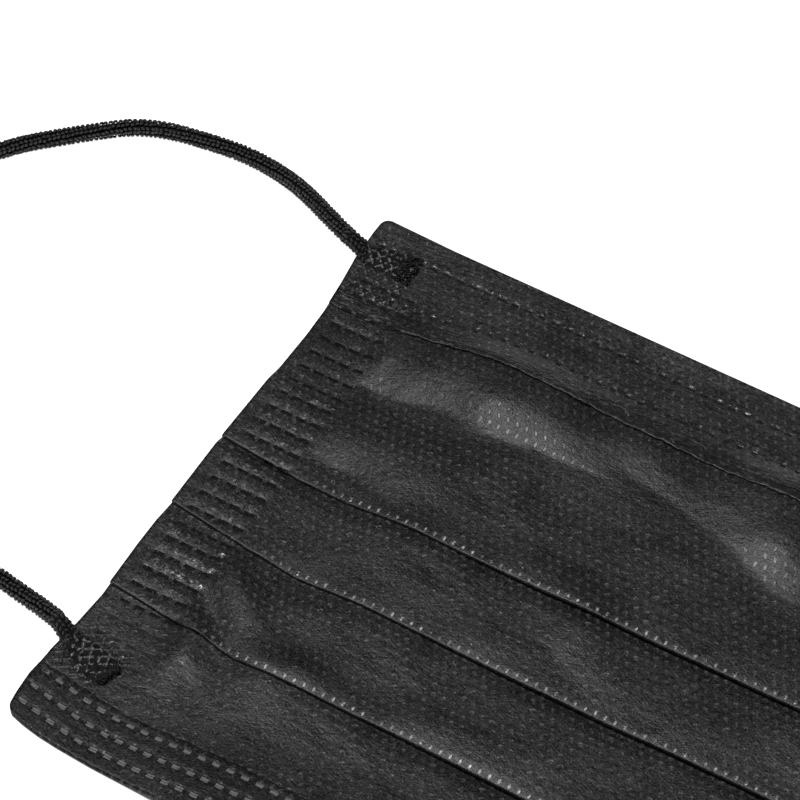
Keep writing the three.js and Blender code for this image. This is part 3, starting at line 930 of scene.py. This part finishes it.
def specks(x, y, cell, chance, radius):
    """1 on a few small specks, strewn at random: at most one to a cell."""
    node = x.tree.nodes.new("ShaderNodeTexVoronoi")
    x.tree.links.new(vector(x / cell, y / cell), node.inputs["Vector"])
    set_inputs(node, {"Scale": 1})
    pick = split_vector(x.tree, node.outputs["Color"])[0]
    near = smoothstep(Flow(x.tree, node.outputs["Distance"]), radius / cell, radius / cell * 0.6)
    return near * smoothstep(pick, 1 - chance, 1.001 - chance)


def surface(shader, height, tone, rough):
    """Gives a surface its bumps, with their height in millimetres, its tone of grey and its roughness."""
    tree = height.tree
    bump = tree.nodes.new("ShaderNodeBump")
    set_inputs(bump, {"Distance": MM})
    feed(bump.inputs["Height"], height)
    tree.links.new(bump.outputs["Normal"], shader.inputs["Normal"])
    colour = tree.nodes.new("ShaderNodeCombineColor")
    for socket, share in zip(colour.inputs, (1.0, 1.0, 1.02)):
        feed(socket, tone * share)
    tree.links.new(colour.outputs["Color"], shader.inputs["Base Color"])
    feed(shader.inputs["Roughness"], rough)


# The tone given for fused weld marks is a painted glint, standing in for the light off their glossy film.
CLOTH_LOOK = Sizes(colour=0.028, melted=0.26, mottle=2.2, roughness=0.34, specular=0.36, bond_roughness=0.19,
                   sunk_roughness=0.9, lint=0.35)
# How far each pattern raises the cloth, in millimetres, and how much each lightens it. Those below 0 lower or
# darken it.
RELIEF = {"felt": 0.035, "fluff": 0.035, "grain": 0.03, "crease": 0.2, "point": -0.006, "mark": -0.1,
          "mark_ribs": -0.02, "ribs": 0.06, "pits": -0.04, "streaks": 0.03, "cut": -0.02, "pucker": 0.12,
          "dimple": 0.1}
# Of these tones, the bond points' arcs, glints and lighter tone, the imprint's ribs, the puffs and beads
# beside weld marks and the pucker crests are painted highlights; the imprint's pits, the zone along a hem's
# raw edge and the line on it are painted shade and shadow.
TONE = {"felt": 2.6, "grain": 5.0, "fluff": 2.0, "streaks": 2.6, "crescent": 3.2, "point": 1.4,
        "fold_row": 7.0, "pits": -0.5, "ribs": 3.5, "bright": 13.0, "strip": -0.6, "cut": -0.9, "pucker": 3.0}


def summed(amounts, **patterns):
    """The sum of named patterns, each times its own amount."""
    return sum(pattern * amounts[name] for name, pattern in patterns.items())


def tinted(tone, **patterns):
    """A tone that each named pattern lightens or darkens by its own share."""
    for name, pattern in patterns.items():
        tone = tone * (1 + TONE[name] * pattern)
    return tone


def cloth_material(name, welds, shade=1.0, specular=CLOTH_LOOK.specular, gleam=0.0, puckered=0.0):
    """Spun-bonded cloth: matted fibres, rows of small bond points, weld marks, and a little lint.

    The glint setting adds painted highlights to the bond points: light arcs on their upper edges,
    and glints in the row above each fold. The pucker setting adds the puckers, with painted highlight
    on their crests, the streaks, painted shade over a zone along a hem's raw edge, and a dark line of
    painted shadow along it.
    """
    material, tree, shader = new_material(name, (0.02, 0.02, 0.02), CLOTH_LOOK.roughness, specular)
    u, v = cloth_place(tree)
    x, y = place(tree)[:2]
    across, up = bond_place(u, v)
    near = distance(across, up)
    unlike = smoothstep(noise(u / 1.1, v / 1.1, 3.0, detail=1.0), 0.35, 0.65)
    point = smoothstep(near, 1.15, 0.75)
    # Painted highlight: light arcs along the upper edge of each bond point, as if its raised edge caught the
    # light.
    crescent = bell((distance(across * 0.65, up * 1.1) - 1) * 3.2) * smoothstep(up - 0.4 * across, 0.0, 0.7)
    crescent = crescent * (0.1 + 0.9 * unlike) * (0.1 + 0.9 * gleam * smoothstep(y, 24.0, 15.0))
    # Painted highlight: glints on the row of bond points just above each fold, where the cloth turns down.
    fold_row = smoothstep(near, 0.95, 0.5) * smoothstep(v, 1.2, 1.0) * gleam
    fold_row = fold_row * smoothstep(size(x), 75.0, 66.0) * smoothstep(y, -31.0, -30.0)
    felt = fibres(u, v, 24, 0.24, 1.3) + fibres(u, v, -22, 0.22, 1.1)
    fluff = noise(u / 0.5, v / 0.5, 7.0)
    grain = noise(u / 0.25, v / 0.25, 5.0)
    crease = noise(u / 9.0, v / 5.0, 1.0, detail=3.0, distortion=0.4)
    ragged = noise(x / 0.6, y / 0.6, 4.0) - 0.5
    frayed = noise(x / 0.45, y / 0.45, 14.0) - 0.5
    sunk, bright, melted = welds(x + ragged * 0.3, y + frayed * 0.25)
    # The soft edges of the weld marks, darkened as painted shade and made rougher.
    rim = sunk * (1 - sunk) * 4
    ribs, pits = end_imprint(x, y)
    height = summed(RELIEF, felt=felt - 1.0, fluff=fluff - 0.5, grain=grain - 0.5, crease=crease - 0.5)
    height = height * (1 - 0.6 * sunk) * (1 - 0.95 * point)
    mark_ribs = sunk * wave(y, 0.26)
    height = height + summed(RELIEF, point=point, mark=sunk, mark_ribs=mark_ribs, ribs=ribs, pits=pits)
    # A zone along a hem's raw edge: painted shade where the flap curves down, with eased bumps and puckers.
    strip = within(v, 0.0, 3.2, 1.2) * puckered
    pucker = noise(u / 1.5, v / 0.45, 21.0, detail=3.0)
    streaks = noise(u / 3.0, v / 0.3, 31.0, detail=3.0)
    dimple = noise(u / 2.4, v / 1.9, 17.0)
    # A dark line of painted shadow along a second ply's raw edge, also dented a little and made rough.
    cut = bell((v - 0.62) / 0.12) * smoothstep(noise(u / 3.0, 2.0, detail=3.0), 0.4, 0.5) * puckered
    height = height * (1 - 0.5 * strip)
    height = height + puckered * summed(RELIEF, streaks=streaks - 0.5, cut=cut)
    dimple = (dimple - 0.5) * smoothstep(size(x), 80.0, 76.0)
    height = height + summed(RELIEF, pucker=(pucker - 0.5) * strip, dimple=dimple)
    mottle = noise(u / 9.0, v / 6.0, 11.0, detail=4.0, roughness=0.6)
    weave = 1 + summed(TONE, felt=felt - 1.0, grain=grain - 0.5, fluff=fluff - 0.5)
    weave = weave + puckered * (summed(TONE, streaks=streaks - 0.5) - (grain - 0.5))
    tone = highest(weave, 0.15) * (1 + CLOTH_LOOK.mottle * (mottle - 0.5))
    # The bond points are really dented and smoother; their lighter tone, like the arcs, is a painted
    # highlight.
    tone = tone * (1 + summed(TONE, crescent=crescent, point=point))
    fold_row = fold_row * (0.65 + 0.35 * smoothstep(noise(u / 13.0, v / 30.0, 9.0), 0.38, 0.56))
    fold_row = fold_row * (0.75 + 0.25 * unlike)
    # The imprint's ribs are lightened as painted highlight and its pits darkened as painted shade.
    tone = tinted(tone, fold_row=fold_row, pits=pits, ribs=ribs * smoothstep(frayed, 0.0, 0.1))
    # Painted shade in the sunk weld marks, broken up by the grain and left off the fused ones.
    hatched = 0.9 - 0.6 * smoothstep(grain, 0.5, 0.6)
    tone = tone * (1 - hatched * sunk * (1 - melted))
    # The painted highlights beside the weld marks are broken up into tufts.
    tufted = 0.3 * smoothstep(grain, 0.42, 0.62) + 0.7 * smoothstep(fluff, 0.45, 0.62)
    # Painted highlight on the pucker crests, painted shade over the zone along the raw edge, and the painted
    # shadow line.
    pucker = strip * smoothstep(pucker, 0.54, 0.64)
    tone = tinted(tone, bright=bright * tufted, strip=strip, cut=cut, pucker=pucker)
    # Fused marks take a light, even tone instead: a painted glint for the light off their glossy film.
    flat = (0.8 + 0.3 * wave(y, 0.42)) * (0.6 + 0.8 * fluff) * CLOTH_LOOK.melted
    tone = mix(tone * (CLOTH_LOOK.colour * shade), flat, melted) * (1 - 0.85 * rim)
    rough = CLOTH_LOOK.roughness + (fluff - 0.5) * 0.25 + (mottle - 0.5) * 0.2
    rough = mix(rough, CLOTH_LOOK.bond_roughness, smoothstep(near, 1.1, 0.6) * (0.7 + 0.3 * unlike))
    rough = mix(rough, CLOTH_LOOK.sunk_roughness, highest(highest(sunk * (1 - melted), rim), cut))
    surface(shader, height, tone + CLOTH_LOOK.lint * specks(u, v, 7.0, 0.1, 0.14), rough)
    return material


def end_imprint(x, y):
    """The lattice that the welding tool pressed round each cord end: its ribs, and the pits between them."""
    ribs, pits = 0.0, 0.0
    for end in CORD_ENDS[:2]:
        (x0, y0), (x1, y1) = end.start[:2], end.cut
        run = math.hypot(x1 - x0, y1 - y0)
        ahead_x, ahead_y = (abs(x0) - abs(x1)) / run, (y1 - y0) / run
        inward = abs(x0) - size(x)
        along = inward * ahead_x + (y - y0) * ahead_y
        across = (y - y0) * ahead_x - inward * ahead_y
        mask = (within(along, IMPRINT.start, IMPRINT.stop, IMPRINT.soft)
                * within(across, *end.imprint, IMPRINT.soft_across)
                * smoothstep(y, CHIN_RAW_EDGE + 0.4, CHIN_RAW_EDGE + 1.4))
        rib = lattice(along, across)
        ribs = ribs + rib * mask
        pits = pits + (1 - rib) * mask
    return ribs, pits


def side_marks(x, y):
    """How deep the side bands' marks are sunk, the painted highlight of the puffed cloth beside them,
    and where a fused mark takes a painted glint, which is nowhere here.
    """
    strength = side_weld_strength(y)
    patchy = smoothstep(noise(x / 1.6, y / 1.6, 9.0), 0.38, 0.6)
    # Painted highlight on the puffed cloth above the marks: patchy, and strongest in the lower rows.
    fluffed = side_puff(x, y) * strength * patchy * (0.3 + 1.1 * within(y, -19.5, -11.5, 2.5))
    return side_weld(x, y) * strength, fluffed, 0.0


def nose_marks(x, y):
    rows = nose_weld(x, y)
    band = smoothstep(y, 40.5, 38.0)
    sunk, fluffed, melted = side_marks(x, y)
    # Painted highlight: beads of light on the upper edge of the weld dots and dashes, shifted up from the
    # marks.
    pearls = nose_weld(x, y - 0.5) * smoothstep(noise(x / 0.8, y / 0.6, 2.0), 0.4, 0.56)
    return highest(rows, sunk * band), highest(fluffed * band, pearls * 0.75), 0.0


def chin_marks(x, y):
    # The chin hem's marks are fused film, lightened as a painted glint.
    marks = chin_weld(x, y)
    return marks, 0.0, marks


def yarn_material(name, colour, specular=0.5):
    """Dull black knitted yarn with fine filaments."""
    material, tree, shader = new_material(name, (0.01, 0.01, 0.01), 0.45, specular)
    x, y, z = place(tree)
    hair = noise(x / 0.09, y / 0.09, z / 0.09)
    patch = noise(x / 0.9, y / 0.9, z / 0.9)
    tone = (0.3 + 1.4 * hair) * (0.1 + 1.8 * patch) * colour
    surface(shader, (hair - 0.5) * 0.05, tone, 0.48 + (hair - 0.5) * 0.3)
    return material


def weld_material():
    """Cord fused flat under the welding tool: dark pits between glossier ribs.
    The ribs are lightened in patches as a painted highlight.
    """
    material, tree, shader = new_material("welded_cord", (0.01, 0.01, 0.01), 0.5, 0.3)
    x, y, z = place(tree)
    ribs = end_imprint(x, y)[0]
    grain = noise(x / 0.16, y / 0.16, z / 0.16, detail=3.0)
    patch = noise(x / 0.5, y / 0.5, z / 0.5)
    # Painted highlight: patches of light on the lattice's ribs.
    bright = ribs * smoothstep(patch, 0.46, 0.56) * smoothstep(grain, 0.35, 0.6)
    tone = (0.3 + grain) * (0.005 + 0.55 * bright)
    surface(shader, (grain - 0.5) * 0.12 + ribs * 0.1, tone, 0.6 - 0.3 * bright)
    return material


# ---- The studio ----

CAMERA = Sizes(place=(92.5, -265, 418), aim=(-70.7, 22.1, 0), roll=0.55, lens=180, sensor=36)
FLOOR = Sizes(size=4.0, drop=0.00005, colour=0.9, glow=0.97)
SKY = 0.08
SOFTBOX = Sizes(direction=(-0.30, -0.02, 0.95), aim=(-0.05, 0, 0), away=2.4, size=0.9, watts=28)


def make_camera():
    data = bpy.data.cameras.new("camera")
    data.lens = CAMERA.lens
    data.sensor_width = CAMERA.sensor
    camera = add_object("camera", data)
    camera.location = Vector(CAMERA.place) * MM
    look = (Vector(CAMERA.aim) - Vector(CAMERA.place)).to_track_quat("-Z", "Y").to_matrix()
    camera.rotation_euler = (look @ Matrix.Rotation(math.radians(CAMERA.roll), 3, "Z")).to_euler()
    bpy.context.scene.camera = camera


def make_floor():
    half = FLOOR.size / 2 / MM
    low = -FLOOR.drop / MM
    corners = [(-half, -half, low), (half, -half, low), (half, half, low), (-half, half, low)]
    material, _, shader = new_material("floor_white", (FLOOR.colour,) * 3, 0.9, 0.1)
    set_inputs(shader, {"Emission Color": (1, 1, 1, 1), "Emission Strength": FLOOR.glow})
    mesh_object("floor", corners, [(0, 1, 2, 3)], material)


def make_light():
    world = bpy.data.worlds.new("studio")
    world.use_nodes = True
    sky = world.node_tree.nodes["Background"]
    set_inputs(sky, {"Color": (1, 1, 1, 1), "Strength": SKY})
    bpy.context.scene.world = world
    data = bpy.data.lights.new("softbox", "AREA")
    data.shape = "SQUARE"
    data.size = SOFTBOX.size
    data.energy = SOFTBOX.watts
    light = add_object("softbox", data)
    direction = Vector(SOFTBOX.direction).normalized()
    light.location = Vector(SOFTBOX.aim) + direction * SOFTBOX.away
    light.rotation_euler = (-direction).to_track_quat("-Z", "Y").to_euler()


def finish_sheet(piece, node):
    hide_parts(node)
    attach(piece, "root")


make_camera()
make_floor()
make_light()
bpy.context.scene.view_settings.view_transform = "Standard"

# Nose hem cloth painted lighter, chin hem cloth darker than the body's: painted light and shade.
body_cloth = cloth_material("body_cloth", side_marks, gleam=1.0)
nose_cloth = cloth_material("nose_cloth", nose_marks, 1.3, 0.42, puckered=1.0)
chin_cloth = cloth_material("chin_cloth", chin_marks, 0.85, 0.22)
yarn = yarn_material("yarn", 0.042)
# The cord's core is the same yarn painted near black: painted shade in the gaps between the stitches.
core_yarn = yarn_material("core_yarn", 0.003, specular=0.12)
cut_yarn = yarn_material("cut_yarn", 0.003)
welded = weld_material()

body = make_body(body_cloth)
finish_sheet(body, "pleated_body")
nose = make_hem("nose_flap", NOSE_OUTLINE, NOSE_RAW_OUTLINE, 1, NOSE_EDGE, NOSE_RAW_EDGE,
                nose_hem_level, nose_relief, nose_cloth)
finish_sheet(nose, "nose_hem")
chin = make_hem("chin_flap", CHIN_OUTLINE, CHIN_RAW_OUTLINE, -1, CHIN_EDGE, CHIN_RAW_EDGE,
                chin_hem_level, chin_relief, chin_cloth, thinned=0.12)
finish_sheet(chin, "chin_hem")

for node, route in (("ear_loop_left", LOOP_LEFT), ("ear_loop_right", LOOP_RIGHT)):
    make_cord(node, route, yarn, core_yarn)
for end in CORD_ENDS:
    make_cord_end(end, yarn, cut_yarn, welded)
